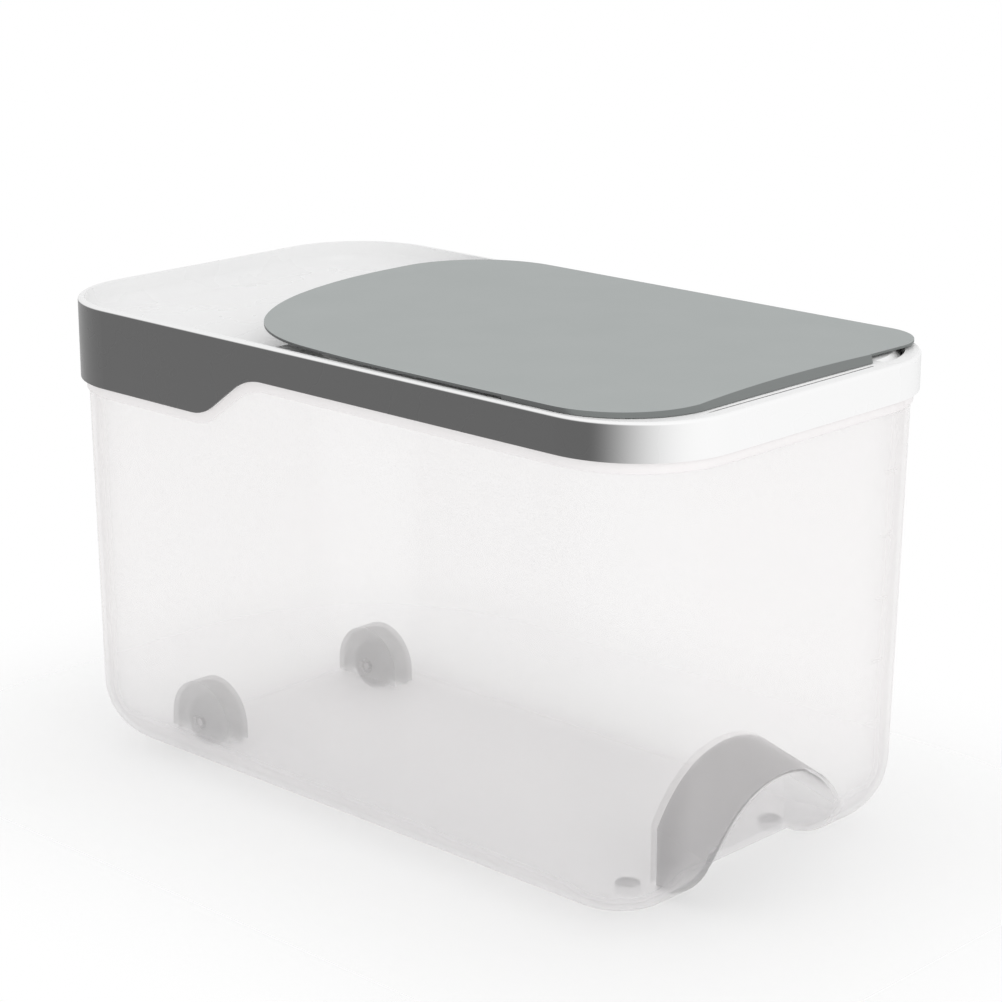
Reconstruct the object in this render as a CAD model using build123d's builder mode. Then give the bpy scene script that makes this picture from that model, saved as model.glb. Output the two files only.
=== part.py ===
"""Rice storage bin: clear tub on two wheels, press-on lid frame, flip flap.

Millimetres. Z is up, the ground is z = 0 and the bin's length runs along Y.
The finger recess is at the front, at -Y. The wheels are at the rear.
"""

import os
from math import cos, radians, sin, tan

from build123d import *

os.makedirs("parts", exist_ok=True)

# ---- lid frame -----------------------------------------------------------
lid_length = 380.0
lid_width = 211.0
lid_top = 224.0
lid_corner = 48.5
end_y = lid_length / 2
side_x = lid_width / 2

skirt_wall = 2.2
skirt_front_height = 16.5
skirt_rear_height = 38.0  # the skirt is deep round the rear
skirt_slope = 36.0        # degrees, where its edge drops from front to rear
skirt_deep_length = 147.8 # the deep part and its slope, from the rear end
skirt_bend_front = 32.0   # rounding of the edge where the slope starts
skirt_bend_rear = 22.0    # and where it ends
rim_width = 3.0
rim_front_width = 17.0    # the rim is wide in front, under the flap's lip
rim_rounding = 1.5
rim_groove_inset = 6.5    # from the front end
rim_groove_half = 57.0
rim_groove_x = -10.0
rim_groove_width = 0.9
rim_groove_depth = 0.6

lid_plate = 2.5           # thickness of the lid's level plates
land_depth = 4.0          # from the rim down to the land under the flap
deck_depth = 13.0         # from the rim down to the rear deck
deck_length = 143.0       # the deck's level floor, from the rear end
deck_cove = 7.0
step_tilt = 45.0          # degrees, from the land down to the deck

# ---- pour opening --------------------------------------------------------
opening_side_inset = 17.5
opening_front_inset = 30.0
opening_deck_gap = 20.0   # from its rear edge to the deck's level floor
opening_corner = 30.0
collar_height = 1.0
collar_wall = 2.5

# ---- flap ----------------------------------------------------------------
flap_thickness = 1.2
flap_lift = 1.2           # from the rim up to the flap's underside
flap_side_inset = 2.5
flap_straight = 154.7     # its left side is straight up to this far before the tail
flap_swell_in = 3.4       # then it curves in: distances from the left side,
flap_swell_back = 90.7    # and from the tail
flap_shoulder_in = 34.1
flap_shoulder_back = 34.3
flap_rise_in = 76.2
flap_rise_back = 11.1
flap_level = 8.0          # short level stretch at the tail
flap_tail_corner = 50.0   # rear corner on the right, the tight one
flap_tab_corner = 24.0    # front corner on the right, out over the finger notch
flap_tab_inset = 14.0     # its front edge there, from the lid's front end
flap_near_corner = 42.0   # front corner on the left, upper edge of the lip
flap_near_inset = 12.0    # and here
lip_inset = 9.0           # foot of the turned-down lip
lip_corner = 43.0
lip_height = 2.1
lip_end_foot = 52.0       # x where the lip stops, at its foot
lip_end_top = 58.0        # and at its upper edge
lip_end_inset = 14.5
lip_bow_inset = 16.8      # its upper edge, at the middle of its bow
lip_bow_foot_inset = 9.4
lip_bow_x = 12.0          # its front bows back most here
lip_end_round = 3.0
lip_length = 71.0         # the lip's block runs this far back under the flap
lip_play = 1.0            # between the lip's block and the liner's flange

# ---- finger notch in the rim, under the flap's right front corner --------
notch_start = lip_end_top - 2.0
notch_outer = 7.0         # its outer wall, in from the lid's outer face
notch_floor = 1.0         # width of its floor
notch_slope = 45.0        # degrees, its inner wall leans in towards the top
notch_depth = 4.0
notch_reach = 40.0        # along the bin's side, from its front end

liner_flange = 1.8
liner_wall = 1.8
liner_play = 2.0          # round the plug, inside the opening
liner_reach = 8.0         # plug, below the flange
flange_over = 3.0         # the flange reaches this far past the opening's edge
gasket_width = 3.5
gasket_gap = 0.05         # closed flap, between its gasket and the collar

# ---- flap hinge ----------------------------------------------------------
hinge_inset = 94.5        # pin axis, from the rear end
hinge_drop = 2.6          # pin axis, below the rim
hinge_tail = 7.2          # the flap reaches this far behind the pin axis
hinge_pin_radius = 1.2
hinge_pin_play = 0.05
hinge_pin_fit = 0.02      # pin in its posts
barrel_radius = 2.6
barrel_length = 14.0
barrel_play = 0.3         # between barrel and posts, endways
post_width = 5.0
hinge_near = 16.0         # x of the two hinges
hinge_far = 56.0

# ---- tub -----------------------------------------------------------------
ground_gap = 4.0          # the tub's flat bottom stands this far off the ground
tub_inset_side = 3.2      # the tub's mouth, inside the skirt's outer face
tub_inset_end = 3.3
tub_lean_side = 1.0       # the sides lean in by this much towards the bottom
tub_lean_end = 9.0
tub_corner_inset = 3.0
tub_corner_lean = 9.5
tub_bottom_round = 32.0
tub_wall = 2.0
tub_floor = 2.2
bead_extra = 0.7          # bead round the tub's mouth
bead_below = 5.0          # the bead shows this far below the skirt
seal_thickness = 1.2
seal_width = 2.3
seal_inset = 0.3          # from the skirt's inner face

# ---- finger recess -------------------------------------------------------
recess_depth = 44.0       # from the lid's front end to its back wall
recess_crown = 59.0       # height of its roof at the back wall
recess_rise = 14.5        # degrees that the roof climbs inwards
recess_half = 44.0        # half width at the bottom
recess_sag = 19.03        # the roof's sides lie this far under its crown, a round part
recess_droop = 8.82       # and this much more where it curls down
recess_round = 3.0        # rounding of its outer edge

# ---- wheels, axles, feet -------------------------------------------------
wheel_radius = 12.5
wheel_width = 7.0
wheel_edge = 1.2
wheel_dish = 1.0          # depth of the ring sunk in each wheel face
wheel_rim_radius = 10.0
wheel_hub_radius = 4.5
wheel_side_inset = 49.2   # middle of the wheel, from the bin's side
wheel_end_inset = 59.0    # and from its rear end
well_radius = 19.0
well_width = 9.0
well_wall = 1.6
axle_radius = 2.0
axle_play = 0.05          # wheel bore round the axle
axle_end_play = 0.2
axle_chamfer = 0.4
socket_play = 0.02        # axle in its sockets
socket_depth = 2.4        # beyond the well's side
socket_cap = 1.4

foot_side_inset = 56.5
foot_end_inset = 56.0
foot_radius = 5.5
foot_seat = 0.6           # the foot is let into the bottom by this much
foot_play = 0.1
foot_edge = 0.8

# ---- level marks ---------------------------------------------------------
mark_side_inset = 45.5
mark_length = 9.0
mark_height = 1.0
mark_raise = 0.5
mark_lowest = 60.0
mark_step = 29.0
mark_count = 5

# ---- derived -------------------------------------------------------------
reach = 2 * lid_length    # longer than anything it has to cut through

skirt_bends = (skirt_bend_front, skirt_bend_rear)
skirt_drop_start = end_y - skirt_deep_length
skirt_front = lid_top - skirt_front_height
skirt_rear = lid_top - skirt_rear_height
rim_groove_y = end_y - rim_groove_inset
deck_start = end_y - deck_length
land_z = lid_top - land_depth
deck_z = lid_top - deck_depth
opening_half = side_x - opening_side_inset
opening_front = opening_front_inset - end_y
opening_rear = deck_start - opening_deck_gap
flap_side = side_x - flap_side_inset
flap_tab_front = end_y - flap_tab_inset
flap_near_front = end_y - flap_near_inset
lip_front = end_y - lip_inset
lip_end_front = end_y - lip_end_inset
lip_bow_front = end_y - lip_bow_inset
lip_bow_foot = end_y - lip_bow_foot_inset
flap_under = lid_top + flap_lift
flap_top = flap_under + flap_thickness
hinge_y = end_y - hinge_inset
flap_tail = hinge_y + hinge_tail
hinge_z = lid_top - hinge_drop
collar_top = land_z + collar_height
flange_under = flap_under - liner_flange

tub_half_top = side_x - tub_inset_side
tub_half_bottom = tub_half_top - tub_lean_side
tub_end_top = end_y - tub_inset_end
tub_end_bottom = tub_end_top - tub_lean_end
tub_corner_top = lid_corner - tub_corner_inset
tub_corner_bottom = tub_corner_top - tub_corner_lean
tub_mouth_front = land_z - lid_plate - seal_thickness
tub_mouth_rear = deck_z - lid_plate - seal_thickness
tub_height = tub_mouth_front - ground_gap
recess_back = end_y - recess_depth
wheel_x = side_x - wheel_side_inset
wheel_y = end_y - wheel_end_inset
foot_x = side_x - foot_side_inset
foot_y = end_y - foot_end_inset
mark_x = side_x - mark_side_inset
bisector = tan(radians(step_tilt / 2))
socket_end = well_width / 2 + socket_depth
pin_half = barrel_length / 2 + barrel_play + post_width


def step_profile(front_z, rear_z, down):
    """Everything under the lid's step, in the YZ plane. The slope lies down below the deck's."""
    end = deck_start - down * bisector
    start = end - (front_z - rear_z) / tan(radians(step_tilt))
    return [(-reach, -reach), (-reach, front_z), (start, front_z), (end, rear_z),
            (reach, rear_z), (reach, -reach)]


def skirt_profile(lower):
    """Everything under the skirt's lower edge, in the YZ plane, moved down by lower."""
    front_z = skirt_front - lower
    rear_z = skirt_rear - lower
    end = skirt_drop_start + (front_z - rear_z) / tan(radians(skirt_slope))
    return [(-reach, -reach), (-reach, front_z), (skirt_drop_start, front_z), (end, rear_z),
            (reach, rear_z), (reach, -reach)]


def prism(profile, bends=(0.0, 0.0)):
    """A profile in the YZ plane, right across the bin. bends round its front and rear corner."""
    with BuildPart(mode=Mode.PRIVATE) as tool:
        with BuildSketch(Plane.YZ) as outline:
            Polygon(*profile, align=None)
            for corner, bend in zip(profile[2:4], bends):
                if bend > 0:
                    fillet(outline.vertices().sort_by_distance(corner)[0], radius=bend)
        extrude(amount=reach, both=True)
    return tool.part


def slab(low_z, high_z, half_x, half_y, corner, middle_y=0.0):
    """An upright block with a rounded rectangle for its plan."""
    with BuildPart(mode=Mode.PRIVATE) as tool:
        with BuildSketch(Plane.XY.offset(low_z)):
            with Locations((0, middle_y)):
                RectangleRounded(2 * half_x, 2 * half_y, corner)
        extrude(amount=high_z - low_z)
    return tool.part


def bar(middle, radius, half_length):
    """A round bar along X."""
    x, y, z = middle
    start = Plane(origin=(x - half_length, y, z), x_dir=(0, 1, 0), z_dir=(1, 0, 0))
    with BuildPart(mode=Mode.PRIVATE) as tool:
        with BuildSketch(start):
            Circle(radius)
        extrude(amount=2 * half_length)
    return tool.part


# =========================== tub ==========================================
with BuildPart() as tub_outer:
    with BuildSketch(Plane.XY.offset(ground_gap)):
        RectangleRounded(2 * tub_half_bottom, 2 * tub_end_bottom, tub_corner_bottom)
    with BuildSketch(Plane.XY.offset(tub_mouth_front)):
        RectangleRounded(2 * tub_half_top, 2 * tub_end_top, tub_corner_top)
    loft(ruled=True)
    fillet(tub_outer.faces().sort_by(Axis.Z)[0].edges(), radius=tub_bottom_round)

with BuildPart() as tub_inner:
    with BuildSketch(Plane.XY.offset(ground_gap + tub_floor)):
        RectangleRounded(2 * (tub_half_bottom - tub_wall), 2 * (tub_end_bottom - tub_wall),
                         tub_corner_bottom - tub_wall)
    with BuildSketch(Plane.XY.offset(lid_top)):
        RectangleRounded(2 * (tub_half_top - tub_wall), 2 * (tub_end_top - tub_wall),
                         tub_corner_top - tub_wall)
    loft(ruled=True)
    fillet(tub_inner.faces().sort_by(Axis.Z)[0].edges(), radius=tub_bottom_round - tub_wall)


def recess_roof(x):
    """How far the finger recess's roof line lies below its crown, x from the middle."""
    return recess_sag * (x / recess_half) ** 2 + recess_droop * (x / recess_half) ** 4


def recess_tool(wall):
    """The finger recess, larger by a wall all round. Its roof climbs towards the back."""
    half = recess_half + wall
    steps = [i / 4 for i in range(-4, 5)]
    roof = [(half * t, recess_crown + wall - recess_roof(recess_half * t)) for t in steps]
    back = Plane(origin=(0, wall - recess_back, 0), x_dir=(1, 0, 0), z_dir=(0, -1, 0))
    climb = radians(recess_rise)
    with BuildPart(mode=Mode.PRIVATE) as tool:
        with BuildSketch(back):
            with BuildLine():
                Spline(*roof)
                Polyline(roof[-1], (half, -half), (-half, -half), roof[0])
            make_face()
        extrude(amount=recess_back / 2, dir=(0, -cos(climb), -sin(climb)))
    return tool.part


def well_tool(x, wall):
    """One wheel well, larger by a wall all round: round on top, open below."""
    radius = well_radius + wall
    width = well_width + 2 * wall
    side = Plane(origin=(x - width / 2, wheel_y, 0), x_dir=(0, 1, 0), z_dir=(1, 0, 0))
    with BuildPart(mode=Mode.PRIVATE) as tool:
        with BuildSketch(side):
            with Locations((0, wheel_radius)):
                Circle(radius)
            with Locations((0, (wheel_radius - radius) / 2)):
                Rectangle(2 * radius, wheel_radius + radius)
        extrude(amount=width)
    return tool.part


with BuildPart() as tub_hollow:
    add(tub_inner.part)
    add(recess_tool(tub_wall), mode=Mode.SUBTRACT)
    for x in (-wheel_x, wheel_x):
        add(well_tool(x, well_wall), mode=Mode.SUBTRACT)
        add(bar((x, wheel_y, wheel_radius), axle_radius + well_wall, socket_end + socket_cap),
            mode=Mode.SUBTRACT)

with BuildPart() as tub_bead:
    add(slab(skirt_rear - 2 * bead_below, tub_mouth_front, tub_half_top + bead_extra,
             tub_end_top + bead_extra, tub_corner_top + bead_extra))
    add(prism(skirt_profile(bead_below), skirt_bends), mode=Mode.SUBTRACT)

with BuildPart() as tub_body:
    add(tub_outer.part)
    add(recess_tool(0), mode=Mode.SUBTRACT)
    recess_lip = [e for e in tub_body.edges(Select.LAST) if e.geom_type == GeomType.BSPLINE
                  and e.center().Y < -recess_back - recess_round
                  and abs(e.center().X) < recess_half + 0.1]
    fillet(recess_lip, radius=recess_round)

with BuildPart() as tub:
    add(tub_body.part)
    for x in (-wheel_x, wheel_x):
        add(well_tool(x, 0), mode=Mode.SUBTRACT)
    for i in range(mark_count):
        z = mark_lowest + i * mark_step
        lean = (tub_end_top - tub_end_bottom) * (z - ground_gap) / tub_height
        with Locations((mark_x, -tub_end_bottom - lean, z)):
            Box(mark_length, 2 * mark_raise, mark_height)
    add(tub_bead.part)
    add(tub_hollow.part, mode=Mode.SUBTRACT)
    for x in (-wheel_x, wheel_x):
        add(bar((x, wheel_y, wheel_radius), axle_radius + socket_play, socket_end),
            mode=Mode.SUBTRACT)
    for x in (-foot_x, foot_x):
        with Locations((x, -foot_y, ground_gap + foot_seat / 2)):
            Cylinder(foot_radius + foot_play, foot_seat, mode=Mode.SUBTRACT)
    add(prism(step_profile(tub_mouth_front, tub_mouth_rear, lid_plate + seal_thickness)),
        mode=Mode.INTERSECT)
tub.part.label = "tub"
export_step(tub.part, "parts/tub.step")

# =========================== wheels, axles and feet =======================
for name, x in (("left", -wheel_x), ("right", wheel_x)):
    with BuildPart() as wheel:
        add(bar((x, wheel_y, wheel_radius), wheel_radius, wheel_width / 2))
        rims = wheel.edges().filter_by(GeomType.CIRCLE)
        fillet(rims, radius=wheel_edge)
        for side in (-1, 1):
            dish_x = x + side * (wheel_width / 2 - wheel_dish / 2)
            dish = bar((dish_x, wheel_y, wheel_radius), wheel_rim_radius, wheel_dish / 2)
            hub = bar((dish_x, wheel_y, wheel_radius), wheel_hub_radius, wheel_dish / 2)
            add(dish - hub, mode=Mode.SUBTRACT)
        add(bar((x, wheel_y, wheel_radius), axle_radius + axle_play, wheel_width),
            mode=Mode.SUBTRACT)
    wheel.part.label = "rear_wheel_" + name
    export_step(wheel.part, "parts/rear_wheel_" + name + ".step")

    with BuildPart() as axle:
        add(bar((x, wheel_y, wheel_radius), axle_radius, socket_end - axle_end_play))
        chamfer(axle.edges().filter_by(GeomType.CIRCLE), length=axle_chamfer)
    axle.part.label = "wheel_axle_" + name
    export_step(axle.part, "parts/wheel_axle_" + name + ".step")

for name, x in (("left", -foot_x), ("right", foot_x)):
    with BuildPart() as foot:
        with Locations((x, -foot_y, (ground_gap + foot_seat) / 2)):
            Cylinder(foot_radius, ground_gap + foot_seat)
        fillet(foot.edges().group_by(Axis.Z)[0], radius=foot_edge)
    foot.part.label = "front_foot_" + name
    export_step(foot.part, "parts/front_foot_" + name + ".step")

# =========================== lid frame ====================================
opening_half_y = (opening_rear - opening_front) / 2
opening_y = (opening_rear + opening_front) / 2

with BuildPart() as lid_shell:
    add(slab(skirt_rear, lid_top, side_x, end_y, lid_corner))
    fillet(lid_shell.faces().sort_by(Axis.Z)[-1].edges(), radius=rim_rounding)
    add(prism(skirt_profile(0), skirt_bends), mode=Mode.SUBTRACT)

with BuildPart() as lid_cavity:
    add(slab(skirt_rear - 1, land_z, side_x - skirt_wall, end_y - skirt_wall,
             lid_corner - skirt_wall))
    add(prism(step_profile(land_z - lid_plate, deck_z - lid_plate, lid_plate)),
        mode=Mode.INTERSECT)

pocket_half_y = end_y - (rim_width + rim_front_width) / 2
pocket_y = (rim_front_width - rim_width) / 2

with BuildPart() as lid_pocket:
    add(slab(deck_z, lid_top + 1, side_x - rim_width, pocket_half_y, lid_corner - rim_width,
             pocket_y))
    fillet(lid_pocket.faces().sort_by(Axis.Z)[0].edges(), radius=deck_cove)
    add(prism(step_profile(land_z, deck_z, 0)), mode=Mode.SUBTRACT)

notch_inner = notch_outer + notch_floor

with BuildPart() as finger_notch:
    add(slab(lid_top - notch_depth, lid_top + 1, side_x - notch_outer, end_y - notch_outer,
             lid_corner - notch_outer))
    with BuildSketch(Plane.XY.offset(lid_top - notch_depth)):
        RectangleRounded(2 * (side_x - notch_inner), 2 * (end_y - notch_inner),
                         lid_corner - notch_inner)
    extrude(amount=notch_depth, taper=notch_slope, mode=Mode.SUBTRACT)
    with Locations((notch_start, -end_y, lid_top)):
        Box(side_x, 2 * notch_reach, reach, align=(Align.MIN, Align.CENTER, Align.CENTER),
            mode=Mode.INTERSECT)

with BuildPart() as lid_frame:
    add(lid_shell.part)
    add(lid_cavity.part, mode=Mode.SUBTRACT)
    add(lid_pocket.part, mode=Mode.SUBTRACT)
    add(finger_notch.part, mode=Mode.SUBTRACT)
    with BuildSketch(Plane.XY.offset(lid_top)):
        with Locations((rim_groove_x, -rim_groove_y)):
            SlotOverall(2 * rim_groove_half, rim_groove_width)
    extrude(amount=-rim_groove_depth, mode=Mode.SUBTRACT)
    add(slab(land_z - lid_plate, collar_top, opening_half + collar_wall,
             opening_half_y + collar_wall, opening_corner + collar_wall, opening_y))
    add(slab(skirt_rear, lid_top, opening_half, opening_half_y, opening_corner, opening_y),
        mode=Mode.SUBTRACT)
    for middle in (hinge_near, hinge_far):
        for side in (-1, 1):
            x = middle + side * (barrel_length / 2 + barrel_play + post_width / 2)
            add(bar((x, hinge_y, hinge_z), barrel_radius, post_width / 2))
            with Locations((x, hinge_y, (deck_z + hinge_z) / 2)):
                Box(post_width, 2 * barrel_radius, hinge_z - deck_z)
        add(bar((middle, hinge_y, hinge_z), hinge_pin_radius + hinge_pin_fit, pin_half),
            mode=Mode.SUBTRACT)
lid_frame.part.label = "lid_frame"
export_step(lid_frame.part, "parts/lid_frame.step")

with BuildPart() as lid_gasket:
    add(slab(tub_mouth_rear, land_z, side_x - skirt_wall - seal_inset,
             end_y - skirt_wall - seal_inset, lid_corner - skirt_wall - seal_inset))
    add(slab(tub_mouth_rear, land_z, side_x - skirt_wall - seal_inset - seal_width,
             end_y - skirt_wall - seal_inset - seal_width,
             lid_corner - skirt_wall - seal_inset - seal_width), mode=Mode.SUBTRACT)
    add(prism(step_profile(land_z - lid_plate, deck_z - lid_plate, lid_plate)),
        mode=Mode.INTERSECT)
    add(prism(step_profile(tub_mouth_front, tub_mouth_rear, lid_plate + seal_thickness)),
        mode=Mode.SUBTRACT)
lid_gasket.part.label = "lid_gasket"
export_step(lid_gasket.part, "parts/lid_gasket.step")

for name, middle in (("left", hinge_near), ("right", hinge_far)):
    with BuildPart() as pin:
        add(bar((middle, hinge_y, hinge_z), hinge_pin_radius, pin_half))
    pin.part.label = "hinge_pin_" + name
    export_step(pin.part, "parts/hinge_pin_" + name + ".step")

# =========================== flap =========================================
plug_half = opening_half - liner_play
plug_half_y = opening_half_y - liner_play
plug_corner = opening_corner - liner_play
flange_half = opening_half + flange_over
flange_half_y = opening_half_y + flange_over
flange_corner = opening_corner + flange_over


def lip_outline(corner, near_front, bow_front, end_front, end_x):
    """Edges of the lip's block at one level. Its front edge may bow back."""
    side = Line((-flap_side, lip_length - lip_front), (-flap_side, corner - near_front))
    turn = RadiusArc(side @ 1, (corner - flap_side, -near_front), -corner)
    run = ThreePointArc(turn @ 1, (lip_bow_x, -bow_front), (end_x - lip_end_round, -end_front))
    stop = RadiusArc(run @ 1, (end_x, lip_end_round - end_front), -lip_end_round)
    Polyline(stop @ 1, (end_x, lip_length - lip_front), side @ 0)


with BuildPart() as flap_lip:
    with BuildSketch(Plane.XY.offset(flap_top - lip_height)):
        with BuildLine():
            lip_outline(lip_corner, lip_front, lip_bow_foot, lip_front, lip_end_foot)
        make_face()
    with BuildSketch(Plane.XY.offset(flap_top)):
        with BuildLine():
            lip_outline(flap_near_corner, flap_near_front, lip_bow_front, lip_end_front,
                        lip_end_top)
        make_face()
    loft(ruled=True)
    add(slab(flange_under, flap_under, flange_half + lip_play, flange_half_y + lip_play,
             flange_corner + lip_play, opening_y), mode=Mode.SUBTRACT)

# The flap's outline is its own: wide on the left, tight at the right rear corner,
# and out over the finger notch at the right front corner.
with BuildPart() as flap_cover:
    with BuildSketch(Plane.XY.offset(flap_under)):
        with BuildLine():
            left = Line((-flap_side, flap_near_corner - flap_near_front),
                        (-flap_side, flap_tail - flap_straight))
            swell = TangentArc(left @ 1, (flap_swell_in - flap_side, flap_tail - flap_swell_back),
                               tangent=left % 1)
            shoulder = TangentArc(swell @ 1, (flap_shoulder_in - flap_side,
                                              flap_tail - flap_shoulder_back),
                                  tangent=swell % 1)
            rise = TangentArc(shoulder @ 1, (flap_rise_in - flap_side,
                                             flap_tail - flap_rise_back),
                              tangent=shoulder % 1)
            crest = TangentArc(rise @ 1, (flap_side - flap_tail_corner - flap_level, flap_tail),
                               tangent=rise % 1)
            level = Line(crest @ 1, (flap_side - flap_tail_corner, flap_tail))
            tail = RadiusArc(level @ 1, (flap_side, flap_tail - flap_tail_corner),
                             flap_tail_corner)
            right = Line(tail @ 1, (flap_side, flap_tab_corner - flap_tab_front))
            tab = RadiusArc(right @ 1, (flap_side - flap_tab_corner, -flap_tab_front),
                            flap_tab_corner)
            front = Line(tab @ 1, (lip_end_top - lip_end_round, -lip_end_front))
            bow = ThreePointArc(front @ 1, (lip_bow_x, -lip_bow_front),
                                (flap_near_corner - flap_side, -flap_near_front))
            RadiusArc(bow @ 1, left @ 0, flap_near_corner)
        make_face()
    extrude(amount=flap_thickness)
    add(flap_lip.part)
    for middle in (hinge_near, hinge_far):
        add(bar((middle, hinge_y, hinge_z), barrel_radius, barrel_length / 2))
        with Locations((middle, hinge_y, (hinge_z + flap_under) / 2)):
            Box(barrel_length, 2 * barrel_radius, flap_under - hinge_z)
        add(bar((middle, hinge_y, hinge_z), hinge_pin_radius + hinge_pin_play, barrel_length),
            mode=Mode.SUBTRACT)
flap_cover.part.label = "flap_cover"
export_step(flap_cover.part, "parts/flap_cover.step")

with BuildPart() as flap_liner:
    add(slab(flange_under, flap_under, flange_half, flange_half_y, flange_corner, opening_y))
    add(slab(flange_under - liner_reach, flange_under, plug_half, plug_half_y, plug_corner,
             opening_y))
    add(slab(flange_under - liner_reach, flange_under, plug_half - liner_wall,
             plug_half_y - liner_wall, plug_corner - liner_wall, opening_y),
        mode=Mode.SUBTRACT)
flap_liner.part.label = "flap_liner"
export_step(flap_liner.part, "parts/flap_liner.step")

with BuildPart() as flap_gasket:
    add(slab(collar_top + gasket_gap, flange_under, flange_half, flange_half_y, flange_corner,
             opening_y))
    add(slab(collar_top + gasket_gap, flange_under, flange_half - gasket_width,
             flange_half_y - gasket_width, flange_corner - gasket_width, opening_y),
        mode=Mode.SUBTRACT)
flap_gasket.part.label = "flap_gasket"
export_step(flap_gasket.part, "parts/flap_gasket.step")
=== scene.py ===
# %% [markdown]
# # A rice storage bin on wheels
# The bin is a long clear tub with a white lid frame and a grey flap that lifts to pour or scoop.
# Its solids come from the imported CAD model, so every piece below is placed in that frame, in
# metres, and moves with one of its bodies: tub, lid, flap and the two wheels.

from math import radians

import bpy
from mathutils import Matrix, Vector


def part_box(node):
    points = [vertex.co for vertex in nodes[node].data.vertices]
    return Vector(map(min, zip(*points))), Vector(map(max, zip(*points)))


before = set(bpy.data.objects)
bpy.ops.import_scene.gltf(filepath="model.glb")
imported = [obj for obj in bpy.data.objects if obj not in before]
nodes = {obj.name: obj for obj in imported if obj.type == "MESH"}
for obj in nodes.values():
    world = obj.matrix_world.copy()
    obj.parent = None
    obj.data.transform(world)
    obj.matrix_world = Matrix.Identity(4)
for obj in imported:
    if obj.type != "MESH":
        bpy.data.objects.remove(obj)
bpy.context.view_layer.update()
print("CAD nodes:", sorted(nodes))

# %% [markdown]
# ## Places on the bin
# The finishes change at certain walls and edges. Their places follow the frame: each is measured
# from the box round a CAD node, so most of them move along when the part's sizes change.

# %% Boxes round the pieces
lid_low, lid_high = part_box("lid_frame")
tub_low, tub_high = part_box("tub")
flap_low, flap_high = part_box("flap_cover")
wheel_low, wheel_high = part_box("rear_wheel_right")
axle_low, axle_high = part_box("wheel_axle_right")
front_end = lid_low.y
print("lid:", lid_low, lid_high)
print("tub:", tub_low, tub_high)

# %% [markdown]
# ## Colours
# A photograph gives colours as the screen shows them, and Blender's shaders want linear light.
# One helper turns the first into the second, so that the numbers below stay readable.

# %% Screen colours to linear light
def screen_colour(red, green, blue):
    """A colour read off a screen, 0 to 255, as linear light with full cover."""
    linear = []
    for value in (red, green, blue):
        share = value / 255
        linear.append(share / 12.92 if share <= 0.04045 else ((share + 0.055) / 1.055) ** 2.4)
    return (*linear, 1.0)


print("mid grey in linear light:", screen_colour(128, 128, 128))

# %% [markdown]
# ## How a moulded surface is built up
# Injection-moulded plastic is never quite even: the steel mould leaves a fine texture, and the
# gloss wanders a little. Every finish below starts from the same parts. They are a Principled
# shader, a noise that stirs its roughness and a finer noise that dents its normals. All of them
# read Object coordinates, so the pattern stays on the piece when the piece moves.

# %% A moulded finish
gloss_swing = 0.05        # the roughness wanders this far to either side
cloud_scale = 30          # size of the glossier and duller patches, as noise cycles per metre


def link(owner, source, output, target, socket):
    """Joins two nodes of a material or world by the names or numbers of their sockets."""
    owner.node_tree.links.new(source.outputs[output], target.inputs[socket])


def add_node(owner, kind, **settings):
    """A new shader node with its settings."""
    node = owner.node_tree.nodes.new(kind)
    for name, value in settings.items():
        setattr(node, name, value)
    return node


def moulded_finish(name, colour, roughness, texture_size, texture_depth):
    """Plain moulded plastic. Returns the material with its shader and coordinate nodes."""
    material = bpy.data.materials.new(name)
    material.use_nodes = True
    shader = material.node_tree.nodes["Principled BSDF"]
    shader.inputs["Base Color"].default_value = colour
    shader.inputs["Specular IOR Level"].default_value = 0.4
    place = add_node(material, "ShaderNodeTexCoord")

    cloudy = add_node(material, "ShaderNodeTexNoise")
    cloudy.inputs["Scale"].default_value = cloud_scale
    cloudy.inputs["Detail"].default_value = 3
    link(material, place, "Object", cloudy, "Vector")
    gloss = add_node(material, "ShaderNodeMapRange")
    gloss.inputs["From Min"].default_value = 0.15
    gloss.inputs["From Max"].default_value = 0.85
    gloss.inputs["To Min"].default_value = roughness - gloss_swing
    gloss.inputs["To Max"].default_value = roughness + gloss_swing
    link(material, cloudy, "Fac", gloss, "Value")
    link(material, gloss, "Result", shader, "Roughness")

    texture = add_node(material, "ShaderNodeTexNoise")
    texture.inputs["Scale"].default_value = 1 / texture_size
    texture.inputs["Detail"].default_value = 2
    link(material, place, "Object", texture, "Vector")
    dents = add_node(material, "ShaderNodeBump")
    dents.inputs["Strength"].default_value = 0.5
    dents.inputs["Distance"].default_value = texture_depth
    link(material, texture, "Fac", dents, "Height")
    link(material, dents, "Normal", shader, "Normal")
    return material, shader, place


def dress(node, material):
    """Gives a CAD node its finish. Its mesh stays as it is."""
    mesh = nodes[node].data
    mesh.materials.clear()
    mesh.materials.append(material)
    print(material.name, "on", node)


# %% [markdown]
# ## Masks by place
# Some finishes change along the piece. A mask is a value from 0 to 1 made from one of the
# object's own coordinates, so it never depends on where the viewer stands. Its edge is soft over
# a short blur, as a hard step would look like a painted line.

# %% Ramps and mixes
def ramp(material, source, low, high, output="Value"):
    """0 where the source is at low, 1 where it is at high, smooth between them."""
    node = add_node(material, "ShaderNodeMapRange", interpolation_type="SMOOTHSTEP")
    node.inputs["From Min"].default_value = low
    node.inputs["From Max"].default_value = high
    link(material, source, output, node, "Value")
    return node


def above(material, source, limit, blur):
    """1 where the source is above the limit."""
    return ramp(material, source, limit - blur, limit + blur)


def below(material, source, limit, blur):
    """1 where the source is below the limit."""
    return ramp(material, source, limit + blur, limit - blur)


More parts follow.
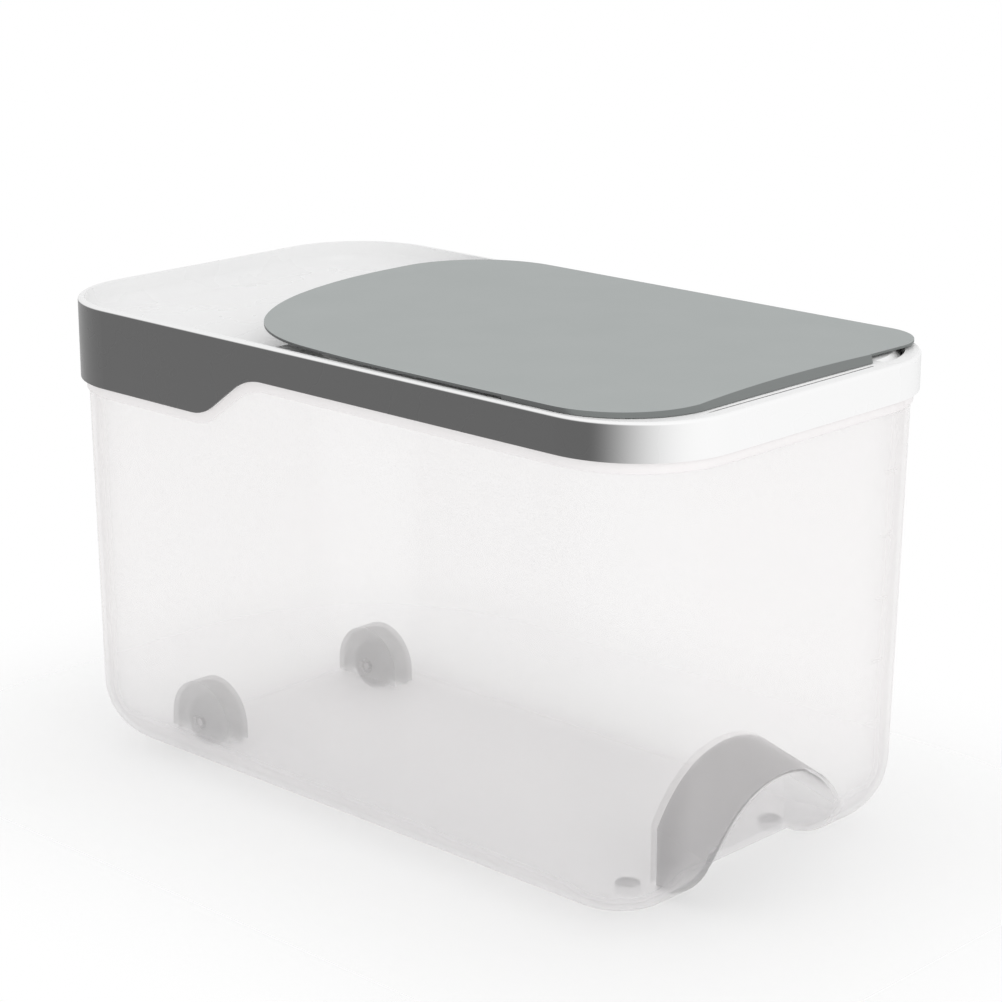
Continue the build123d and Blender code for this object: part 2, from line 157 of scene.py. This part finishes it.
def combine(material, first, second, operation):
    """Two masks as one, such as their product or the larger of them."""
    node = add_node(material, "ShaderNodeMath", operation=operation)
    link(material, first, 0, node, 0)
    link(material, second, 0, node, 1)
    return node


def where_all(material, *masks):
    """1 only where every one of the masks is 1."""
    together = masks[0]
    for mask in masks[1:]:
        together = combine(material, together, mask, "MULTIPLY")
    return together


def blend_colours(material, mask, low, high):
    """low where the mask is 0 and high where it is 1. Either may be an earlier blend."""
    node = add_node(material, "ShaderNodeMix", data_type="RGBA")
    link(material, mask, 0, node, 0)
    if isinstance(low, tuple):
        node.inputs[6].default_value = low
    else:
        link(material, low, 2, node, 6)
    if isinstance(high, tuple):
        node.inputs[7].default_value = high
    else:
        link(material, high, 2, node, 7)
    return node


def blend_values(material, mask, low, high):
    """The same for plain numbers. low may be an earlier blend."""
    node = add_node(material, "ShaderNodeMix", data_type="FLOAT")
    link(material, mask, 0, node, 0)
    if isinstance(low, float):
        node.inputs[2].default_value = low
    else:
        link(material, low, 0, node, 2)
    node.inputs[3].default_value = high
    return node


# %% [markdown]
# ## How far in from the rim?
# The bin's plan is a rounded rectangle. The distance from that outline says which wall a point
# lies on: it is 0 on the outer face and negative further in. It is the length of the part of
# the position that lies past the middle of the corner arc, less the arc's radius.

# %% Distance from a rounded rectangle
lid_corner, bead_corner = 0.0485, 0.0462
lid_plan = (lid_high.x, lid_high.y, lid_corner)     # half width, half length, corner radius
bead_plan = (tub_high.x, tub_high.y, bead_corner)   # the same for the tub's bead


def distance_from_outline(material, place, half_x, half_y, corner):
    """A node with the distance outwards from a rounded rectangle, in plan."""
    flat = add_node(material, "ShaderNodeVectorMath", operation="MULTIPLY")
    flat.inputs[1].default_value = (1, 1, 0)
    link(material, place, "Object", flat, 0)
    folded = add_node(material, "ShaderNodeVectorMath", operation="ABSOLUTE")
    link(material, flat, "Vector", folded, 0)
    past = add_node(material, "ShaderNodeVectorMath", operation="SUBTRACT")
    past.inputs[1].default_value = (half_x - corner, half_y - corner, 0)
    link(material, folded, "Vector", past, 0)
    kept = add_node(material, "ShaderNodeVectorMath", operation="MAXIMUM")
    kept.inputs[1].default_value = (0, 0, 0)
    link(material, past, "Vector", kept, 0)
    length = add_node(material, "ShaderNodeVectorMath", operation="LENGTH")
    link(material, kept, "Vector", length, 0)
    distance = add_node(material, "ShaderNodeMath", operation="SUBTRACT")
    distance.inputs[1].default_value = corner
    link(material, length, "Value", distance, 0)
    return distance


def coordinate(material, place, axis, absolute=False):
    """One of the object's coordinates, X, Y or Z, as a plain value."""
    apart = add_node(material, "ShaderNodeSeparateXYZ")
    link(material, place, "Object", apart, "Vector")
    picked = add_node(material, "ShaderNodeMath", operation="ABSOLUTE" if absolute else "ADD")
    link(material, apart, axis, picked, 0)
    if not absolute:
        picked.inputs[1].default_value = 0.0
    return picked


print("lid plan:", lid_plan, "bead plan:", bead_plan)

# %% [markdown]
# ## The clear tub
# The tub is milky polypropylene, about two millimetres thick. It lets light through and blurs
# what is behind it. A part-clear shader does this without the noise of real refraction. Where
# light has to pass through several walls the plastic looks greyer and hides more: at the finger
# recess, at the two wheel wells and along the bottom edge. At the recess the grey is partly a
# painted shade on its near wall and roof, and the lower walls get a painted shade that grows
# towards the bottom. The bead under the lid is thicker, so it hides more too, and so does a wall
# that is seen at a slant, because there is more plastic to look through. Cover is the share of
# the view that one surface hides.

# %% Milky polypropylene
milky_white = screen_colour(253, 250, 250)
milky_low_shade = screen_colour(240, 238, 239)
low_shade_start, low_shade_end = 0.0700, 0.0050       # a painted shade makes the walls greyer between these two heights
tub_cover, slant_cover = 0.10, 0.50       # a wall seen straight on, and one seen at a slant

wheel_middle = (wheel_low + wheel_high) / 2
well_room = 0.0089                        # from the wheel's tread to outside the well's wall
well_radius = wheel_high.z - wheel_middle.z + well_room
well_inner_side, well_outer_side = axle_low.x, axle_high.x
well_grey, well_cover = screen_colour(206, 206, 206), 0.42

recess_side, recess_top = 0.0468, 0.0638
recess_back = front_end + 0.0427
front_face = front_end + 0.0150           # the front wall's inner face, at the ground
front_lean = 0.0424                       # the face leans out by this much per metre of height
recess_bright_side = 0.0340               # past this the far side wall catches light again
# the recess's near wall and roof: grey of the extra plastic, partly painted shade
recess_grey_and_shade, recess_cover = screen_colour(152, 151, 152), 0.8

edge_height = 0.0024
edge_grey, edge_cover = screen_colour(188, 187, 188), 0.45
bead_foot = lid_low.z - 0.0105            # a little under the deep skirt
bead_cover = 0.8


def mask_wells(material, place, across):
    """1 inside the two arched wells round the wheels."""
    from_axle = add_node(material, "ShaderNodeVectorMath", operation="SUBTRACT")
    from_axle.inputs[1].default_value = wheel_middle
    link(material, place, "Object", from_axle, 0)
    in_wheel_plane = add_node(material, "ShaderNodeVectorMath", operation="MULTIPLY")
    in_wheel_plane.inputs[1].default_value = (0, 1, 1)
    link(material, from_axle, "Vector", in_wheel_plane, 0)
    axle_distance = add_node(material, "ShaderNodeVectorMath", operation="LENGTH")
    link(material, in_wheel_plane, "Vector", axle_distance, 0)
    return where_all(material,
                     below(material, axle_distance, well_radius, 0.0002),
                     above(material, across, well_inner_side, 0.0002),
                     below(material, across, well_outer_side, 0.0002))


def mask_recess(material, place, across, along, height):
    """1 on the near wall and the roof of the finger recess, behind the leaning front wall."""
    upright = add_node(material, "ShaderNodeMath", operation="MULTIPLY_ADD")
    upright.inputs[1].default_value = front_lean
    link(material, height, 0, upright, 0)
    link(material, along, 0, upright, 2)
    return where_all(material,
                     above(material, upright, front_face, 0.0003),
                     below(material, along, recess_back, 0.0003),
                     below(material, across, recess_side, 0.0002),
                     below(material, height, recess_top, 0.0002),
                     below(material, coordinate(material, place, "X"), recess_bright_side, 0.0060))


def milky_polypropylene():
    """See-through in part, greyer at the recess, the wheel wells, the bead and the bottom, with
    painted shade in the recess and towards the bottom.
    """
    material, shader, place = moulded_finish("milky_polypropylene", milky_white,
                                             0.34, 0.0016, 0.00002)
    shader.inputs["Specular IOR Level"].default_value = 0.3
    across = coordinate(material, place, "X", absolute=True)
    along = coordinate(material, place, "Y")
    height = coordinate(material, place, "Z")

    well = mask_wells(material, place, across)
    recess = mask_recess(material, place, across, along, height)
    # painted shade: the walls grow greyer towards the bottom
    low = ramp(material, height, low_shade_start, low_shade_end)
    bottom_edge = below(material, height, edge_height, 0.0008)
    bead = where_all(material,
                     above(material, distance_from_outline(material, place, *bead_plan),
                           -0.0004, 0.0001),
                     above(material, height, bead_foot, 0.0005))

    colour = blend_colours(material, low, milky_white, milky_low_shade)
    colour = blend_colours(material, well, colour, well_grey)
    # grey of the extra plastic and painted shade on the recess's near wall and roof
    colour = blend_colours(material, recess, colour, recess_grey_and_shade)
    colour = blend_colours(material, bottom_edge, colour, edge_grey)
    link(material, colour, 2, shader, "Base Color")

    slant = add_node(material, "ShaderNodeLayerWeight")
    slant.inputs["Blend"].default_value = 0.35
    facing = ramp(material, slant, 0.0, 1.0, output="Facing")
    cover = blend_values(material, facing, tub_cover, slant_cover)
    cover = blend_values(material, well, cover, well_cover)
    cover = blend_values(material, recess, cover, recess_cover)
    cover = blend_values(material, bottom_edge, cover, edge_cover)
    cover = blend_values(material, bead, cover, bead_cover)
    link(material, cover, 0, shader, "Alpha")
    return material


dress("tub", milky_polypropylene())

# %% [markdown]
# ## The lid frame
# The lid's rim, its trays and its front are white. Its outer sides get a dark grey painted shade,
# and this shade runs out softly round the front corners. The mask for it is the product of three:
# on the outer face, under the rim's edge, and behind the front corner. A thin groove in front of
# the flap gathers shadow, so it gets a light grey line.

# %% White and grey lid plastic
lid_white = screen_colour(250, 250, 250)
# painted shade: this dark grey stands in for the shade on the lid's outer sides
lid_side_shade = screen_colour(91, 91, 91)
rim_edge = lid_high.z - 0.0010            # the painted side shade ends just under the rim's top
side_shade_start = front_end + 0.0005           # the painted shade grows from nothing here
side_shade_end = front_end + 0.0340             # to full here

groove_grey = screen_colour(165, 165, 165)
groove_line = front_end + 0.0065
groove_half_width = 0.000515
groove_floor, groove_top = lid_high.z - 0.0009, lid_high.z - 0.00006
groove_left_end, groove_right_end = -0.0600, 0.04875


def mask_groove(material, place, along, height):
    """1 in the straight groove in front of the flap, up to the finger notch."""
    across = coordinate(material, place, "X")
    from_groove = add_node(material, "ShaderNodeMath", operation="SUBTRACT")
    from_groove.inputs[1].default_value = groove_line
    link(material, along, 0, from_groove, 0)
    to_either_side = add_node(material, "ShaderNodeMath", operation="ABSOLUTE")
    link(material, from_groove, 0, to_either_side, 0)
    return where_all(material,
                     below(material, to_either_side, groove_half_width, 0.000035),
                     below(material, height, groove_top, 0.00004),
                     above(material, height, groove_floor, 0.0001),
                     below(material, across, groove_right_end, 0.00025),
                     above(material, across, groove_left_end, 0.0040))


def lid_plastic():
    """White, with a dark grey painted shade on the outer sides that fades towards the front
    corners.
    """
    material, shader, place = moulded_finish("lid_plastic", lid_white, 0.28, 0.0012, 0.000015)
    along = coordinate(material, place, "Y")
    height = coordinate(material, place, "Z")
    # painted shade on the outer sides, under the rim, fading in behind the front corners
    dark = where_all(material,
                     ramp(material, along, side_shade_start, side_shade_end),
                     below(material, height, rim_edge, 0.0003),
                     above(material, distance_from_outline(material, place, *lid_plan),
                           -0.0011, 0.0003))
    colour = blend_colours(material, dark, lid_white, lid_side_shade)
    groove = mask_groove(material, place, along, height)
    colour = blend_colours(material, groove, colour, groove_grey)
    link(material, colour, 2, shader, "Base Color")
    return material


dress("lid_frame", lid_plastic())

# %% [markdown]
# ## The flap
# The flap is matt grey, and its top shows that grey. Its turned-down lip gets a darker painted
# shade and its thin side edges the darkest painted shade.

# %% Grey flap plastic
flap_top_grey = screen_colour(168, 173, 172)
# painted shade on the lip, and a darker painted shade on the thin side edges
flap_lip_shade = screen_colour(119, 123, 122)
flap_edge_shade = screen_colour(92, 94, 94)
flap_top_face = flap_high.z - 0.00011     # only the flat top lies above this height
flap_side_edge = flap_high.x - 0.00085    # the thin long edges lie past this
flap_lip_back = flap_low.y + 0.0410       # behind this the front lip has ended


def flap_plastic():
    """The top grey and two painted shades, split by height and by the distance from the long
    sides.
    """
    material, shader, place = moulded_finish("flap_grey", flap_top_grey, 0.5, 0.0009, 0.00003)
    height = coordinate(material, place, "Z")
    across = coordinate(material, place, "X", absolute=True)
    along = coordinate(material, place, "Y")
    under_top = below(material, height, flap_top_face, 0.00007)
    on_side = above(material, across, flap_side_edge, 0.00065)
    on_tail = above(material, along, flap_lip_back, 0.0100)
    thin_edge = combine(material, on_side, on_tail, "MAXIMUM")
    # painted shade under the top face: the lip's, and the thin edges' darker one
    underside_shade = blend_colours(material, thin_edge, flap_lip_shade, flap_edge_shade)
    colour = blend_colours(material, under_top, flap_top_grey, underside_shade)
    link(material, colour, 2, shader, "Base Color")
    return material


dress("flap_cover", flap_plastic())

# %% [markdown]
# ## Liner, seals, wheels, feet and pins
# The small pieces are one even colour each. The liner and the wheels are satin plastic, the seals
# and the feet are duller, and only the pins and the axles are metal.

# %% Even finishes
def even_finish(name, colour, roughness, texture_size, texture_depth, pieces, metallic=0.0):
    """One plain finish for several pieces."""
    material, shader, _ = moulded_finish(name, screen_colour(*colour), roughness, texture_size,
                                         texture_depth)
    shader.inputs["Metallic"].default_value = metallic
    for piece in pieces:
        dress(piece, material)


even_finish("liner_white", (228, 228, 226), 0.45, 0.0012, 0.00002, ["flap_liner"])
even_finish("seal_silicone", (205, 207, 206), 0.6, 0.002, 0.00003, ["lid_gasket", "flap_gasket"])
even_finish("wheel_grey", (188, 190, 190), 0.5, 0.0012, 0.00004,
            ["rear_wheel_left", "rear_wheel_right"])
even_finish("foot_rubber", (238, 239, 239), 0.7, 0.001, 0.00004,
            ["front_foot_left", "front_foot_right"])
even_finish("pin_steel", (190, 190, 192), 0.3, 0.0006, 0.00001,
            ["hinge_pin_left", "hinge_pin_right", "wheel_axle_left", "wheel_axle_right"],
            metallic=1.0)

# %% [markdown]
# ## Floor, light and camera
# The photograph is a cut-out on white. A pale floor catches the bin's soft shadow, and further
# out it lets the white world through, so that the picture fades to white on its own. The world
# gives most of the light. One weak lamp in front gives the walls their shape.

# %% Floor
floor_half_span = 1.2
shadow_reach, shadow_start = 0.16, -0.02  # the floor fades out between these distances
shadow_cover = 0.6


def pale_floor():
    """A wide level floor round the bin that fades into the white world."""
    mesh = bpy.data.meshes.new("floor")
    span = floor_half_span
    mesh.from_pydata([(-span, -span, 0), (span, -span, 0), (span, span, 0), (-span, span, 0)],
                     [], [(0, 1, 2, 3)])
    floor = bpy.data.objects.new("floor", mesh)
    bpy.context.scene.collection.objects.link(floor)
    material, shader, place = moulded_finish("floor_paper", (0.98, 0.98, 0.98, 1.0), 0.9, 0.002,
                                             0.00002)
    shader.inputs["Specular IOR Level"].default_value = 0.0
    distance = distance_from_outline(material, place, *lid_plan)
    near = ramp(material, distance, shadow_reach, shadow_start)
    cover = blend_values(material, near, 0.0, shadow_cover)
    link(material, cover, 0, shader, "Alpha")
    mesh.materials.append(material)
    return floor


print("floor:", pale_floor().name)

# %% [markdown]
# The camera, and any ray that passes through the tub, sees pure white behind the bin. The light
# that falls on the bin is a little weaker, so that a white surface doesn't burn out.

# %% World and lamp
def white_studio(light_strength):
    """A white backdrop whose light on the bin has its own strength."""
    world = bpy.data.worlds.new("studio")
    bpy.context.scene.world = world
    world.use_nodes = True
    backdrop = world.node_tree.nodes["Background"]
    backdrop.inputs["Color"].default_value = (1, 1, 1, 1)
    backdrop.inputs["Strength"].default_value = 1.0
    soft = add_node(world, "ShaderNodeBackground")
    soft.inputs["Color"].default_value = (1, 1, 1, 1)
    soft.inputs["Strength"].default_value = light_strength
    path = add_node(world, "ShaderNodeLightPath")
    seen = add_node(world, "ShaderNodeMath", operation="MAXIMUM")
    link(world, path, "Is Camera Ray", seen, 0)
    link(world, path, "Is Transmission Ray", seen, 1)
    choose = add_node(world, "ShaderNodeMixShader")
    link(world, seen, 0, choose, 0)
    link(world, soft, 0, choose, 1)
    link(world, backdrop, 0, choose, 2)
    link(world, choose, 0, world.node_tree.nodes["World Output"], "Surface")
    return world


def soft_box(name, place, power, size):
    """A square lamp that points at the middle of the bin."""
    lamp = bpy.data.lights.new(name, "AREA")
    lamp.energy = power
    lamp.size = size
    holder = bpy.data.objects.new(name, lamp)
    holder.location = place
    aim = Vector((0, 0, 0.1)) - Vector(place)
    holder.rotation_euler = aim.to_track_quat("-Z", "Y").to_euler()
    bpy.context.scene.collection.objects.link(holder)
    return holder


print("world:", white_studio(0.86).name)
print("lamp:", soft_box("front_light", (-0.7, -1.9, 1.1), 7, 1.2).name)

# %% [markdown]
# The camera stands where the photograph's camera stood. Its place, its turn and its lens were
# solved from the corners and edges of the bin in the photograph.

# %% Camera
camera_data = bpy.data.cameras.new("photo_view")
camera_data.sensor_width = 36.0
camera_data.lens = 99.86
camera = bpy.data.objects.new("photo_view", camera_data)
camera.location = (-0.8859, -0.8533, 0.4953)
camera.rotation_euler = (radians(90 - 16.193), 0, radians(-46.485))
bpy.context.scene.collection.objects.link(camera)
bpy.context.scene.camera = camera
bpy.context.scene.view_settings.view_transform = "Standard"
print("camera:", camera.name, "with a lens of", camera_data.lens, "mm")
